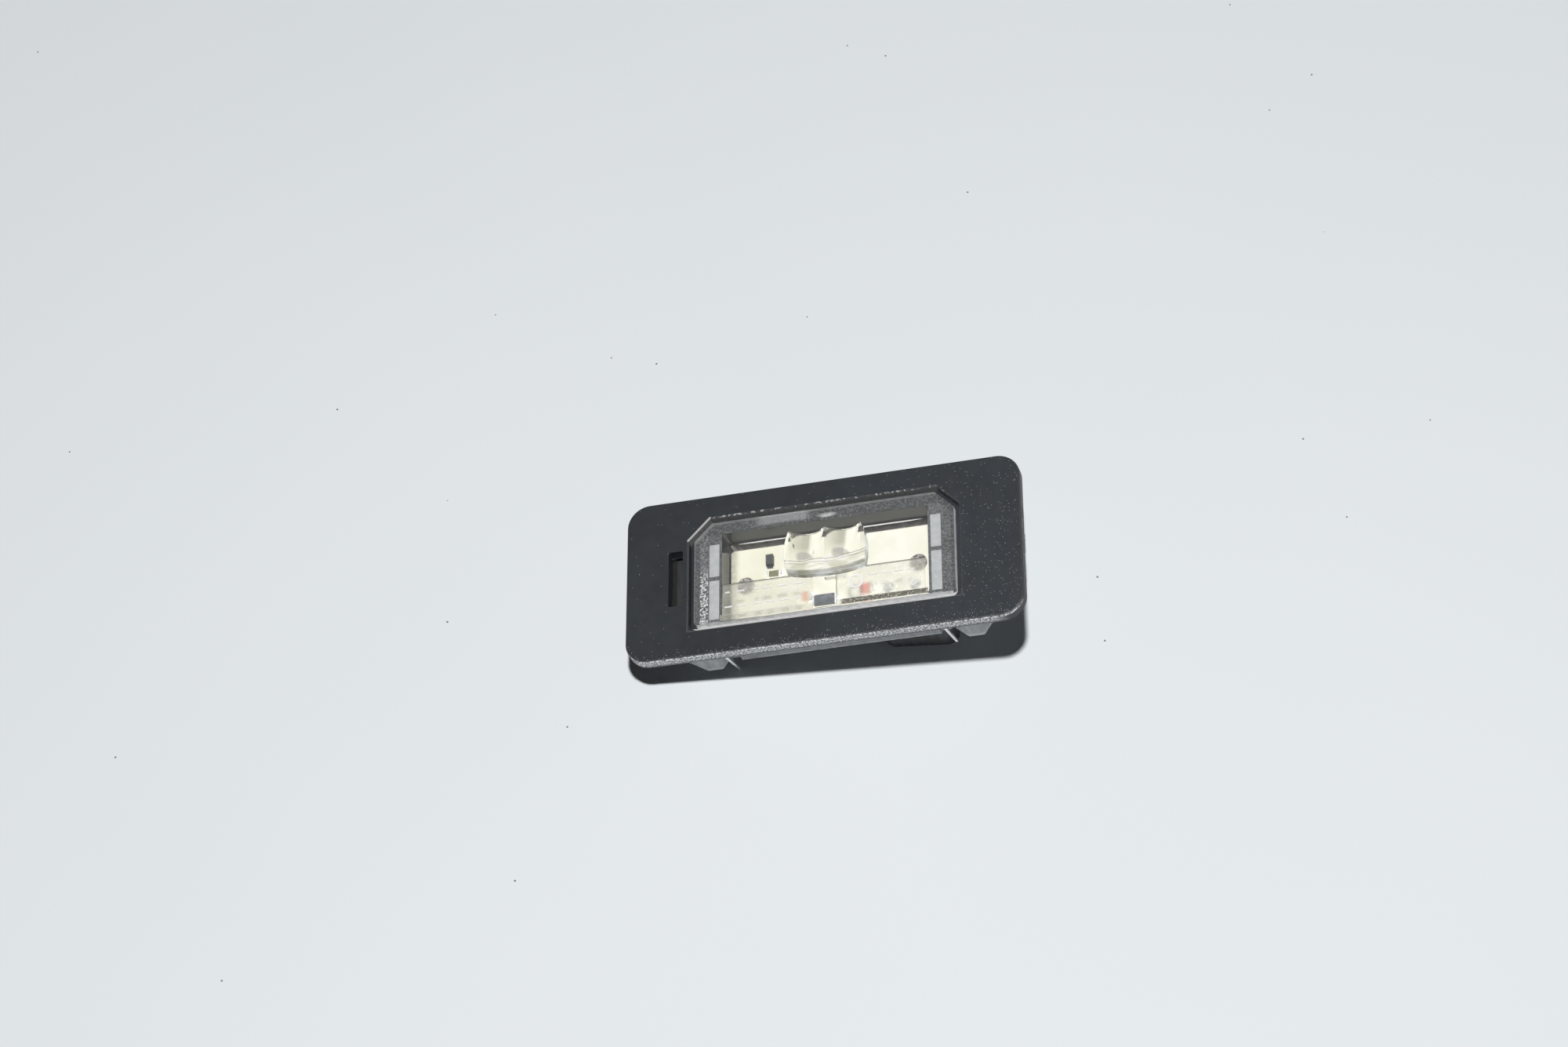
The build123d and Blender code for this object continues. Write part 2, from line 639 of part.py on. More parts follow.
def main():
    os.makedirs("parts", exist_ok=True)
    for name, shape in all_parts().items():
        export_step(shape, f"parts/{name}.step")
        print(f"{name}: {shape.volume:.1f} mm3")


main()
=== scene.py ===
# %% [markdown]
# # A number plate lamp
# This small lamp clips into a car's boot lid and lights the number plate. It is a black moulded frame with
# a clear lens sunk into it. One LED on a white board shines through a fluted optic in the middle of the lens.
# The solid parts come from CAD and stay where they are. The script gives them finishes, adds the small
# moulded and soldered details that CAD leaves out, and sets up the table, the light and the camera.

# %% Load the CAD parts
import math

import bpy
from mathutils import Matrix, Vector


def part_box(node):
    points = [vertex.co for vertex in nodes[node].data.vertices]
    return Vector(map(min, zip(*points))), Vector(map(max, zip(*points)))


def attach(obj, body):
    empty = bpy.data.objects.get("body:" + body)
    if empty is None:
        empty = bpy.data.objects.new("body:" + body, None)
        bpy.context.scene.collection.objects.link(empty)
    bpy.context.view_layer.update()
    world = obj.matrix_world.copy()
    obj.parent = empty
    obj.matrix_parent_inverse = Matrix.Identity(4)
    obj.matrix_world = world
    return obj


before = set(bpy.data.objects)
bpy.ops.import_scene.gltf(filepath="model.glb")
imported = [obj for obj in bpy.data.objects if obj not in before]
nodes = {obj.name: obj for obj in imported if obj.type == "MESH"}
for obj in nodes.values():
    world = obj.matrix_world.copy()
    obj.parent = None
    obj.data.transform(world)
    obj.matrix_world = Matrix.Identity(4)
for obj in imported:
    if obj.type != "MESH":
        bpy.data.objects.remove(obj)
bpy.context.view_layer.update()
MM = 0.001
MM_PER_METRE = 1000
print("CAD nodes:", len(nodes))

# %% [markdown]
# ## Shader arithmetic
# A finish is a graph of nodes. The class `Value` wraps one output socket, so that a mask can be written as
# plain arithmetic: each sign adds a Math node. Every other node comes from the one method `node` of a graph.


# %% A socket that can be used like a number
class Value:
    """One output socket of a graph."""

    def __init__(self, graph, socket):
        self.graph = graph
        self.socket = socket

    def math(self, operation, *others):
        return self.graph.node("ShaderNodeMath", {"operation": operation}, dict(enumerate((self, *others))))

    def __add__(self, other):
        return self.math("ADD", other)

    __radd__ = __add__

    def __mul__(self, other):
        return self.math("MULTIPLY", other)

    __rmul__ = __mul__

    def __sub__(self, other):
        return self.math("SUBTRACT", other)

    def __rsub__(self, other):
        return self * -1 + other

    def __abs__(self):
        return self.math("ABSOLUTE")

    def __gt__(self, other):
        return self.math("GREATER_THAN", other)

    def __lt__(self, other):
        return self.math("LESS_THAN", other)

    def within(self, low, high):
        """1 where this value lies between two limits, and 0 elsewhere."""
        return (self > low) * (self < high)

    def near(self, place, reach):
        """1 where this value is nearer to a place than that reach, and 0 elsewhere."""
        return abs(self - place) < reach

    def most(self, *others):
        """The largest of this value and the others."""
        result = self
        for other in others:
            result = result.math("MAXIMUM", other)
        return result

    def ramp(self, start, end, low=0.0, high=1.0):
        """Goes smoothly from low at start to high at end."""
        inputs = {"Value": self, "From Min": start, "From Max": end, "To Min": low, "To Max": high}
        return self.graph.node("ShaderNodeMapRange", {"interpolation_type": "SMOOTHSTEP"}, inputs)

    def tint(self, first, second):
        """Mixes two colours, with this value as the share of the second."""
        return self.graph.node("ShaderNodeMix", {"data_type": "RGBA"}, {0: self, 6: first, 7: second}, 2)


# %% [markdown]
# ## A finish
# Each finish is one material. It starts as a Principled shader, and further shaders can be laid over it. Its
# patterns are fixed to the lamp by Object coordinates, which are turned into millimetres here, because the
# sizes of dust, grain and scratches are easier to judge in millimetres.


# %% The graph of a finish
def grey(level, warmth=0.0):
    """A neutral colour, or with some warmth a creamy one and with a negative warmth a bluish one."""
    return (level * (1 + warmth), level, level * (1 - warmth), 1)


class Graph:
    """A tree of nodes, to which one method adds them."""

    def __init__(self, tree):
        self.tree = tree

    def fill(self, node, inputs):
        """Links or sets inputs of a node."""
        for name, value in inputs.items():
            if isinstance(value, Value):
                self.tree.links.new(value.socket, node.inputs[name])
            else:
                node.inputs[name].default_value = value

    def node(self, kind, settings=None, inputs=None, output=0):
        """Adds a node of any kind, sets it up, fills its inputs and returns one of its outputs."""
        new = self.tree.nodes.new(kind)
        for name, setting in (settings or {}).items():
            setattr(new, name, setting)
        self.fill(new, inputs or {})
        return Value(self, new.outputs[output])


class Finish(Graph):
    """A material with its place in the lamp's frame: point in metres, and x, y, z in millimetres."""

    def __init__(self, name):
        self.material = bpy.data.materials.new(name)
        self.material.use_nodes = True
        super().__init__(self.material.node_tree)
        self.base = self.tree.nodes["Principled BSDF"]
        self.surface = Value(self, self.base.outputs[0])
        self.point = self.node("ShaderNodeTexCoord", output="Object")
        self.x, self.y, self.z = (
            self.node("ShaderNodeSeparateXYZ", None, {0: self.point}, axis) * MM_PER_METRE for axis in "XYZ"
        )

    def set(self, **inputs):
        """Fills inputs of the first shader, with spaces in their names written as underscores."""
        self.fill(self.base, {name.replace("_", " "): value for name, value in inputs.items()})

    def noise(self, per_mm, detail=2.0, stretch=(1, 1, 1)):
        """Cloudy noise from 0 to 1 with about that many features in a millimetre."""
        place = self.node("ShaderNodeVectorMath", {"operation": "MULTIPLY"}, {0: self.point, 1: stretch})
        inputs = {"Vector": place, "Scale": per_mm * MM_PER_METRE, "Detail": detail}
        return self.node("ShaderNodeTexNoise", None, inputs)

    def specks(self, per_mm, radius_mm, density):
        """1 inside round specks of that radius, which are in that share of the cells, and 0 elsewhere."""
        inputs = {"Vector": self.point, "Scale": per_mm * MM_PER_METRE}
        distance = self.node("ShaderNodeTexVoronoi", None, inputs)
        luck = self.node("ShaderNodeTexVoronoi", None, inputs, "Color")
        chosen = self.node("ShaderNodeSeparateColor", None, {0: luck}) < density
        return (distance < radius_mm * per_mm) * chosen

    def bumps(self, height, depth_mm, strength):
        """Roughens the surface by that height map."""
        inputs = {"Height": height, "Distance": depth_mm * MM, "Strength": strength}
        self.set(Normal=self.node("ShaderNodeBump", None, inputs))

    def layer(self, share, kind="ShaderNodeBsdfPrincipled", **inputs):
        """Covers what the finish shows so far with another shader, by that share."""
        inputs = {name.replace("_", " "): value for name, value in inputs.items()}
        over = self.node(kind, None, inputs)
        self.surface = self.node("ShaderNodeMixShader", None, {0: share, 1: self.surface, 2: over})
        self.fill(self.tree.nodes["Material Output"], {"Surface": self.surface})

    def paint(self, *pieces):
        """Puts the finish on pieces."""
        for piece in pieces:
            piece.data.materials.clear()
            piece.data.materials.append(self.material)
        print(self.material.name, "on", ", ".join(piece.name for piece in pieces))


def named(start):
    """The CAD nodes whose names start like that."""
    return [node for name, node in nodes.items() if name.startswith(start)]


# %% [markdown]
# ## Black housing
# The housing is moulded in one shot from black plastic. The tool for its front face was spark-eroded, so the
# face is dull and finely grained. Its rim and the clip parts behind came off a coarser, worn tool and have
# never been wiped. They are painted grey, partly for that dust and partly as painted light that stands for
# light reaching them from the front; the guide blocks get the most of it, and the plug socket is painted
# darker. The recess under the lip is painted pale, as painted light. Pale dust lies along the lower edge of
# the front face and towards the right end. The far wall of the groove round the lens is painted lighter in
# patches, partly dust and partly painted light, and its near floor is painted pale as painted light. Painted
# highlights lie on the opening's top-left corner, along its top edge and along the rear edge of the back. The
# rim is painted pale with grit, partly dust and partly painted sheen that is strongest on its front side, and
# darker along its lower edge as painted shade. All this is one material with masks worked out from the
# millimetres, because the housing is one solid. Each area is a row of a table: where it is, its pattern and
# its two colours. The rows are painted one over the other.

# %% Where the housing's surfaces are
FLANGE_HALF_LENGTH, FLANGE_HALF_WIDTH, FLANGE_CORNER = 41.0, 18.0, 4.8
FRONT_FROM, PANEL_Z, SOCKET_FROM = 2.15, -0.02, -12.0
RIM_INSET, RIM_FROM = 0.3, -0.05
LENS_X, LENS_Y, LENS_HALF_LENGTH, LENS_HALF_WIDTH = 0.3, 0.35, 27.0, 11.4
CHAMFER_LINE, DIAGONAL = 34.6, 0.7071
CAVITY_HALF_LENGTH, CAVITY_LOW, CAVITY_HIGH, CAVITY_FLOOR = 21.9, -10.6, 10.9, -9.95
STAKES_LOW, STAKES_HIGH, STAKES_REACH_X, STAKES_REACH_Y = -5.5, -4.3, 20.0, 2.0


def lens_outline(finish):
    """Distances in millimetres: along the lens from its middle, past its outline and past its cut corners."""
    across = abs(finish.x - LENS_X)
    up = finish.y - LENS_Y
    past_corner = (across + up - CHAMFER_LINE) * DIAGONAL
    return across, (across - LENS_HALF_LENGTH).most(abs(up) - LENS_HALF_WIDTH, past_corner), past_corner


housing = Finish("housing_black")
reach_x = (abs(housing.x) - (FLANGE_HALF_LENGTH - FLANGE_CORNER)).most(0.0)
reach_y = (abs(housing.y) - (FLANGE_HALF_WIDTH - FLANGE_CORNER)).most(0.0)
inset = FLANGE_CORNER - (reach_x * reach_x + reach_y * reach_y).math("SQRT")
front = housing.z > FRONT_FROM
rim = (inset < RIM_INSET) * (housing.z > RIM_FROM)
across, past_lens, past_corner = lens_outline(housing)
cavity = (across < CAVITY_HALF_LENGTH) * housing.y.within(CAVITY_LOW, CAVITY_HIGH) * (housing.z > CAVITY_FLOOR)
stakes = cavity * housing.z.within(STAKES_LOW, STAKES_HIGH)
stakes = stakes * housing.y.near(0.0, STAKES_REACH_Y) * (across < STAKES_REACH_X)
behind = housing.z.within(SOCKET_FROM, PANEL_Z) * (1 - cavity)
print("Housing masks ready")

# %% Areas of the housing
COOL = -0.03
LIP_Y, LIP_Z, GUIDES_FROM = 9.3, -4.65, 23.3
cloud = housing.noise(0.06).ramp(0.3, 0.7) * 0.5 + housing.x.ramp(-20, 40) * 0.5
colour = cloud.tint((0.0165, 0.0188, 0.0228, 1), (0.0250, 0.0292, 0.0345, 1))
under_lip = cavity * (housing.y > LIP_Y) * (housing.z < LIP_Z)
guides = behind * (across > GUIDES_FROM)
rear_dust_and_painted_light = housing.noise(0.9, 6.0, (1, 1, 0.35)).ramp(0.3, 0.7)
AREAS = {
    "inside": (cavity, housing.noise(0.1), grey(0.007), grey(0.012)),
    # Painted light: the recess under the lip is painted pale grey, as if lit, though it lies in shade.
    "under the lip": (under_lip, housing.noise(0.8, 3.0).ramp(0.3, 0.7), grey(0.30, 0.05), grey(0.60, 0.06)),
    "stakes": (stakes, housing.noise(2.2, 3.0).ramp(0.42, 0.58), grey(0.05, 0.08), grey(0.45, 0.06)),
    # Partly dust, partly painted light: the back and, most of all, the guide blocks are grey to stand for
    # light from the front; the socket gets less.
    "back": (behind, rear_dust_and_painted_light, grey(0.33, COOL), grey(0.43, COOL)),
    "guide blocks": (guides, rear_dust_and_painted_light, grey(0.42, COOL), grey(0.58, COOL)),
    "socket": (housing.z < SOCKET_FROM, rear_dust_and_painted_light, grey(0.10, COOL), grey(0.15, COOL)),
}
for where, pattern, dark, light in AREAS.values():
    colour = where.tint(colour, pattern.tint(dark, light))
print("Areas of the housing:", ", ".join(AREAS))

# %% Dust, worn edges and painted light of the housing
GROOVE, GROOVE_FLOOR_Z, GROOVE_WALL_Z = 1.1, 0.45, (0.5, 2.2)
LIT_WALL_FROM, LIT_FLOOR_TO, DOTS_FROM = 7.8, -10.9, 11.0
REAR_EDGE_Z = (-11.82, -10.9)
# Painted highlight: a pale, patchy line along the rear edge of the back.
rear_edge_highlight = behind * housing.z.within(*REAR_EDGE_Z) * housing.noise(0.6, 3.0).ramp(0.3, 0.6)
low_edge = inset.ramp(0.3, 2.5, 1.0, 0.0) * housing.y.ramp(-12, -17)
density = 0.03 + (housing.x - housing.y * 0.6).ramp(-10, 40) * 0.22 + low_edge * 0.8
opening_edge = past_lens.within(GROOVE + 0.02, GROOVE + 0.32) * front
# Painted highlights on the opening's edge: a line on the top-left cut corner and dots along the top edge.
left_corner_glint = (past_corner > GROOVE) * (housing.x < 0.0)
dotted_glints = housing.noise(1.4, 3.0).ramp(0.50, 0.62) * (housing.y > DOTS_FROM)
# The groove's far wall: patches of dust and painted light. Its near floor: painted light, pale where the
# lens's cut side would light it.
groove_wall = past_lens.within(GROOVE - 0.05, GROOVE + 0.1) * housing.z.within(*GROOVE_WALL_Z)
groove_floor = past_lens.within(-0.1, GROOVE) * housing.z.near(GROOVE_FLOOR_Z, 0.15)
# Rim: pale grit, partly dust and partly painted sheen strongest on the front side; painted shade darkens its
# lower edge.
rim_grit_and_shade = housing.noise(2.5, 3.0).ramp(0.40, 0.61, 0.15, 1.0)
rim_grit_and_shade = rim_grit_and_shade * housing.z.ramp(0.0, 0.9, 0.12, 1.0) * housing.z.ramp(2.46, 2.2)
rim_dust_and_sheen = housing.y.ramp(-14.0, -17.5, 0.03, 1.0) * (1 - housing.x.ramp(34, 38) * housing.z.ramp(2.2, 1.7))
WEAR_AND_PAINTED_LIGHT = {
    "rear edge": (rear_edge_highlight, grey(0.68, -0.02)),
    "dust": (housing.specks(2.8, 0.07, density) * front, grey(0.30, -0.04)),
    "opening": (opening_edge * (left_corner_glint * 0.9).most(dotted_glints * 0.8, 0.08), grey(0.45, 0.01)),
    "groove wall": (
        groove_wall * (housing.y > LIT_WALL_FROM), housing.noise(2.5, 3.0).tint(grey(0.03), grey(0.32)),
    ),
    "groove floor": (groove_floor * (housing.y < LIT_FLOOR_TO), grey(0.50, 0.01)),
    "rim": (rim, (rim_grit_and_shade * rim_dust_and_sheen).tint(grey(0.045, COOL), grey(0.88, -0.02))),
}
for where, paint in WEAR_AND_PAINTED_LIGHT.values():
    colour = where.tint(colour, paint)
gloss = cavity * -0.36 + housing.noise(0.4).ramp(0.3, 0.7, 0.44, 0.58)
housing.set(Base_Color=colour, Roughness=gloss, Specular_IOR_Level=0.35)
housing.bumps(housing.noise(4.5, 3.0), 0.03, 0.35)
print("Wear and painted light of the housing:", ", ".join(WEAR_AND_PAINTED_LIGHT))
housing.paint(nodes["housing"])

# %% [markdown]
# ## Clear lens
# The lens and its optic are one injection moulding of clear acrylic. Light bends through it, so it is a glass
# shader. The two shallow fields are hazy, with a line of painted shade where they step down and a dark
# speckled strip along the lower edge of the right-hand one. The optic carries painted shade on one side and
# the foot of each flute and on its back edge, two fine grey lines run along its front lip, and the lip is
# painted with cream streaks, a painted light that stands for the lit board seen through it. The lens's border
# is textured on the back, to hide the ledge that it is bonded to. Painted glints lie on its top and painted
# light along its front edge, and its cut sides are painted pale and glow faintly, a painted light that stands
# for the light that runs along inside the plate.
#
# Glass would block the lamp's light from the board, so shadow rays pass straight through, and so does the
# light that the board sends back. Both take the same straight way, so no light is counted twice.

# %% Where the lens's surfaces are
LENS_BACK, LENS_FRONT, FIELD_FLOOR, SKIN = 0.5, 2.5, 2.3, 0.05
WINDOW_HALF_LENGTH, WINDOW_LOW, WINDOW_HIGH = 21.4, -10.15, 9.5
FIELD_BACK, FIELD_GAP_LEFT, FIELD_GAP_RIGHT = -2.8, -1.75, 2.95
HAZE_BELOW_FIELD = (-10.9, -9.6)
STRIP_X, STRIP_HALF_WIDTH = 23.0, 1.05
BACK_STRIP, FRONT_STRIP = (3.6, 3.65), (-5.35, 4.4)
lens = Finish("lens_clear")
across, past_side = lens_outline(lens)[:2]
border = (across - WINDOW_HALF_LENGTH).most(lens.y - WINDOW_HIGH, WINDOW_LOW - lens.y)
window = border < 0.0
under = lens.z < LENS_BACK + 0.1
strips = across.near(STRIP_X, STRIP_HALF_WIDTH) * lens.y.near(*BACK_STRIP).most(lens.y.near(*FRONT_STRIP))
frosted = (border > 0.02) * under * (1 - strips)
cut_side = (past_side > -0.05) * lens.z.within(LENS_BACK + 0.02, LENS_FRONT - 0.2)
field = lens.z.near(FIELD_FLOOR, SKIN) * window
beside_gap = (lens.x < FIELD_GAP_LEFT).most(lens.x > FIELD_GAP_RIGHT) * (across < WINDOW_HALF_LENGTH)
hazy = field.most(beside_gap * lens.z.near(LENS_FRONT, SKIN) * lens.y.within(*HAZE_BELOW_FIELD))
optic = lens.z > LENS_FRONT + SKIN
print("Lens masks ready")

# %% Plate and its hazy fields
STEP_LINE, GAP_LINE = 0.12, 0.1
DARK_STRIP_TOP, DARK_STRIP_FOOT, DARK_STRIP_START = (-9.45, -9.85), (-10.88, -10.7), (3.4, 4.6)
lens.set(Base_Color=(1.0, 1.0, 0.99, 1), IOR=1.49, Transmission_Weight=1.0)
lens.set(Roughness=0.01 + hazy * 0.24 + under * window * 0.09)
haze = lens.noise(0.3).tint((0.56, 0.565, 0.47, 1), (0.74, 0.745, 0.65, 1))
haze_share = lens.noise(0.35, 3.0).ramp(0.35, 0.65, 0.20, 0.38)
lens.layer(hazy * haze_share, Base_Color=haze, Roughness=0.5)
# Painted shade: a dark line along the step of each field.
back_step = lens.y.near(FIELD_BACK - STEP_LINE, STEP_LINE)
gap_step = lens.x.near(FIELD_GAP_RIGHT + GAP_LINE, GAP_LINE) * (lens.y < FIELD_BACK)
lens.layer(field * back_step.most(gap_step) * 0.6, Base_Color=(0.16, 0.16, 0.13, 1), Roughness=0.4)
# A dark speckled strip along the lower edge of the right-hand field.
dark_strip = lens.noise(3.2, 3.0).ramp(0.34, 0.52, 0.35, 1.0) * lens.x.ramp(*DARK_STRIP_START, 0.15, 1.0)
dark_strip = dark_strip * lens.y.ramp(*DARK_STRIP_TOP) * lens.y.ramp(*DARK_STRIP_FOOT)
lens.layer(hazy * dark_strip, Base_Color=(0.085, 0.079, 0.060, 1), Roughness=0.6)
print("Fields hazed")

# %% Shades on the optic
FIRST_RIDGE_X, FLUTE_PITCH, FLUTE_MIDDLE = -6.1, 7.4, 0.46
OPTIC_X, OPTIC_BACK, LIP_RADIUS = 1.3, 6.1, 32.5
flute = ((lens.x - FIRST_RIDGE_X) * (1 / FLUTE_PITCH)).math("FRACT")
flute_shade = flute.ramp(0.0, FLUTE_MIDDLE, 0.40, 1.0) * flute.ramp(0.60, 0.47) * lens.y.ramp(-0.8, 3.0, 0.2, 1.0)
foot_y = (lens.y + 0.9) * 0.42
foot_x = (flute - FLUTE_MIDDLE + foot_y * 0.12) * 3.6
foot_shade = (foot_x * foot_x + foot_y * foot_y).ramp(1.0, 0.35) * lens.y.ramp(-1.6, -0.7)
bow = lens.x - OPTIC_X
lip_y = lens.y - bow * bow * (0.5 / LIP_RADIUS) + lens.noise(0.25).ramp(0.3, 0.7, -0.3, 0.3)
streaks = lens.noise(0.7, 2.0, (0.3, 1, 1)).ramp(0.38, 0.62)
cream = streaks.tint((0.50, 0.50, 0.37, 1), (0.97, 0.965, 0.90, 1))
lip_lines = lip_y.near(-1.45, 0.12).most(lip_y.near(-2.15, 0.09))
# Painted shade on the flutes, their foot and the back edge; the lip's cream streaks are painted light that
# stands for the lit board seen through it; two grey lines run along the lip.
SHADES = {
    "flute_shade": (flute_shade * 0.6, (0.27, 0.27, 0.19, 1), 0.4),
    "foot_shade": (foot_shade * 0.5, grey(0.22), 0.4),
    "lip": (lip_y.ramp(-1.4, -2.2, 0.0, 0.55), cream, 0.3),
    "lip lines": (lip_lines * 0.55, grey(0.22), 0.3),
    "back edge": (lens.y.ramp(OPTIC_BACK - 0.5, OPTIC_BACK - 0.3) * 0.45, grey(0.02), 0.3),
}
for share, paint, roughness in SHADES.values():
    lens.layer(optic * share, Base_Color=paint, Roughness=roughness)
print("Shades on the optic:", ", ".join(SHADES))

# %% Frosted border
BACK_FROM, ENDS_FROM = 9.6, 21.5
SPOT_X, SPOT_Y, COLUMN_START, COLUMN_END = 0.9, 10.6, (-25.9, -25.5), -24.0
smoke = lens.noise(0.25, 4.0).ramp(0.35, 0.65).tint(grey(0.048, -0.05), grey(0.090, -0.05))
dim = lens.noise(0.3, 3.0).tint(grey(0.018, -0.05), grey(0.050, -0.05))
band = lens.x.ramp(-15.0, -12.0) * lens.x.ramp(-2.0, -4.0) * lens.y.ramp(9.9, 10.7) * 0.35
spot_x, spot_y = (lens.x - SPOT_X) * 0.4, (lens.y - SPOT_Y) * 1.5
spot = (spot_x * spot_x + spot_y * spot_y).ramp(1.0, 0.0) * lens.noise(0.8, 3.0).ramp(0.3, 0.6, 0.4, 1.0)
column = lens.x.ramp(*COLUMN_START) * (lens.x < COLUMN_END) * lens.y.ramp(2.5, -1.5, 0.2, 1.0)
specks = lens.noise(2.0, 4.0).ramp(0.44, 0.60) * column.most(0.10)
# Painted highlights: the glints on the border's top. Painted light: the pale strip along its front edge.
BORDER = {
    "back": (lens.y > BACK_FROM, dim),
    "outer edge": (past_side.ramp(-1.1, -0.8) * (across > ENDS_FROM), grey(0.030, -0.03)),
    "glints": (band.most(spot), grey(0.50, -0.01)),
    "front": (lens.y.ramp(-10.05, -10.35), grey(0.66, -0.02)),
    "specks": (specks.most(lens.specks(2.8, 0.08, 0.3) * 0.45), grey(0.66, -0.01)),
}
for share, paint in BORDER.values():
    smoke = share.tint(smoke, paint)
lens.layer(frosted, Base_Color=smoke, Roughness=0.7)
print("Areas of the border:", ", ".join(BORDER))

# %% Cut sides, and light that passes straight through
# Painted light: the cut sides are painted pale and glow faintly, most at the front and the right end.
bright_side = lens.y.ramp(-10.5, -10.9).most(lens.x.ramp(26.6, 27.0) * 0.5)
glow = lens.noise(0.9, 3.0).ramp(0.3, 0.7).tint(grey(0.70, -0.01), grey(0.95, -0.01))
glow_share = cut_side * (0.15 + bright_side * lens.x.ramp(-20, 20, 0.5, 0.8))
lens.layer(glow_share, Base_Color=glow, Roughness=0.35, Emission_Color=glow, Emission_Strength=0.30)
shadow_ray = lens.node("ShaderNodeLightPath", output="Is Shadow Ray")
diffuse_ray = lens.node("ShaderNodeLightPath", output="Is Diffuse Ray")
lens.layer(shadow_ray.most(diffuse_ray) * (1 - frosted), "ShaderNodeBsdfTransparent")
lens.paint(nodes["lens"])

# %% [markdown]
# ## Board and the parts on it
# The board is coated with cream-white solder mask, so that it throws stray light back out of the window. It is
# painted darker along the back and at the left end, a painted shade which softens the edge of the shadow
# there, and its cream is painted darker towards the left end, also painted shade. The parts are fired ceramic
# or moulded epoxy. Their colours wander a little, as fired colours do, so each finish is two colours mixed by
# a cloudy noise. One table holds them all, because only the numbers differ.

# %% Finish of the board
board = Finish("board_white")
# Painted shade: the cream darkens towards the left end, and brown is painted along the back edge and the left
# end.
cloud = board.noise(0.25, 3.0).ramp(0.3, 0.7) * 0.5 + board.x.ramp(-20, 12) * 0.5
board_shade = board.y.ramp(8.1, 9.4).most(board.x.ramp(-18.8, -20.6) * 0.6)
board_shade = board_shade * board.noise(1.5, 3.0).ramp(0.3, 0.6, 0.6, 1.0)
colour = board_shade.tint(cloud.tint((0.84, 0.82, 0.65, 1), (0.95, 0.935, 0.825, 1)), (0.10, 0.095, 0.075, 1))
board.set(Base_Color=colour, Roughness=board.noise(2.0).ramp(0.2, 0.8, 0.37, 0.53))
board.bumps(board.noise(6.0), 0.01, 0.3)
board.paint(nodes["circuit_board"])

# %% Finishes of the parts on the board
ROUGHNESS_SPREAD = 0.08
SOFT_BITS = {
    "bond_grey": (named("lens_bond"), (0.38, 0.40, 0.41), (0.45, 0.47, 0.48), 0.6),
    "led_white": (named("led_package"), (0.84, 0.83, 0.77), (0.92, 0.91, 0.87), 0.4),
    "phosphor_cream": (named("led_phosphor"), (0.92, 0.88, 0.66), (0.95, 0.92, 0.76), 0.35),
    "diode_black": (named("protection"), (0.02, 0.02, 0.02), (0.05, 0.05, 0.05), 0.45),
    "capacitor_orange": (named("filter"), (0.72, 0.30, 0.13), (0.85, 0.42, 0.22), 0.4),
    "varistor_red": (named("surge"), (0.66, 0.16, 0.12), (0.80, 0.28, 0.22), 0.4),
    "resistor_grey": (named("power"), (0.10, 0.11, 0.12), (0.20, 0.21, 0.23), 0.3),
    "chip_olive": (named("chip_resistor"), (0.16, 0.16, 0.08), (0.26, 0.26, 0.16), 0.4),
}
for name, (pieces, dark, light, roughness) in SOFT_BITS.items():
    finish = Finish(name)
    cloud = finish.noise(0.9, 4.0).ramp(0.3, 0.7)
    dull = finish.noise(2.0).ramp(0.2, 0.8, roughness - ROUGHNESS_SPREAD, roughness + ROUGHNESS_SPREAD)
    finish.set(Base_Color=cloud.tint((*dark, 1), (*light, 1)), Roughness=dull)
    finish.bumps(finish.noise(6.0), 0.01, 0.3)
    finish.paint(*pieces)

# %% [markdown]
# ## Metal
# The latch is blued spring strip, the prongs are drawn wire and the blades are tinned brass. Rolling and
# drawing leave fine lines along the metal. Noise that is stretched along one axis stands for those lines.

# %% Finishes of the metal parts
METALS = {
    "strip_blued": (named("latch"), 0.055, 0.100, 0.60, (6.0, 0.4, 6.0)),
    "wire_bright": (named("retaining"), 0.68, 0.88, 0.34, (6.0, 6.0, 0.4)),
    "blade_tin": (named("plug_blade"), 0.58, 0.76, 0.30, (3.0, 3.0, 0.4)),
    "solder_bright": (named("solder"), 0.72, 0.86, 0.40, (1.5, 1.5, 1.5)),
}
finishes = {}
for name, (pieces, dark, light, roughness, stretch) in METALS.items():
    finish = finishes[name] = Finish(name)
    lines = finish.noise(1.0, 4.0, stretch).ramp(0.3, 0.7)
    dull = lines.ramp(0.0, 1.0, roughness + ROUGHNESS_SPREAD, roughness - ROUGHNESS_SPREAD)
    finish.set(Base_Color=lines.tint(grey(dark), grey(light)), Metallic=1.0, Roughness=dull)
    finish.bumps(lines, 0.01, 0.2)
    finish.paint(*pieces)

# %% [markdown]
# ## Modelling small pieces
# Each small piece starts from a primitive at its size and place. It is then shaped in edit mode, where an
# operator acts on all that is selected. So the helpers come first: some start a piece with nothing else
# selected and put its place into its mesh, and some select faces by the way they face or edges by where
# they are. A face counts as facing along an axis when nearly all of its normal lies along it.

# %% Helpers for modelling
FACING = 0.9


def start(name, add, **size):
    """Starts a piece from a primitive, with its place in its mesh."""
    bpy.ops.object.select_all(action="DESELECT")
    add(**size)
    piece = bpy.context.object
    piece.name = piece.data.name = name
    bpy.ops.object.transform_apply(location=True, rotation=True, scale=True)
    return piece


def start_block(name, low, high):
    """Starts a box between two corners in millimetres."""
    low, high = Vector(low) * MM, Vector(high) * MM
    return start(name, bpy.ops.mesh.primitive_cube_add, size=1, location=(low + high) / 2, scale=high - low)


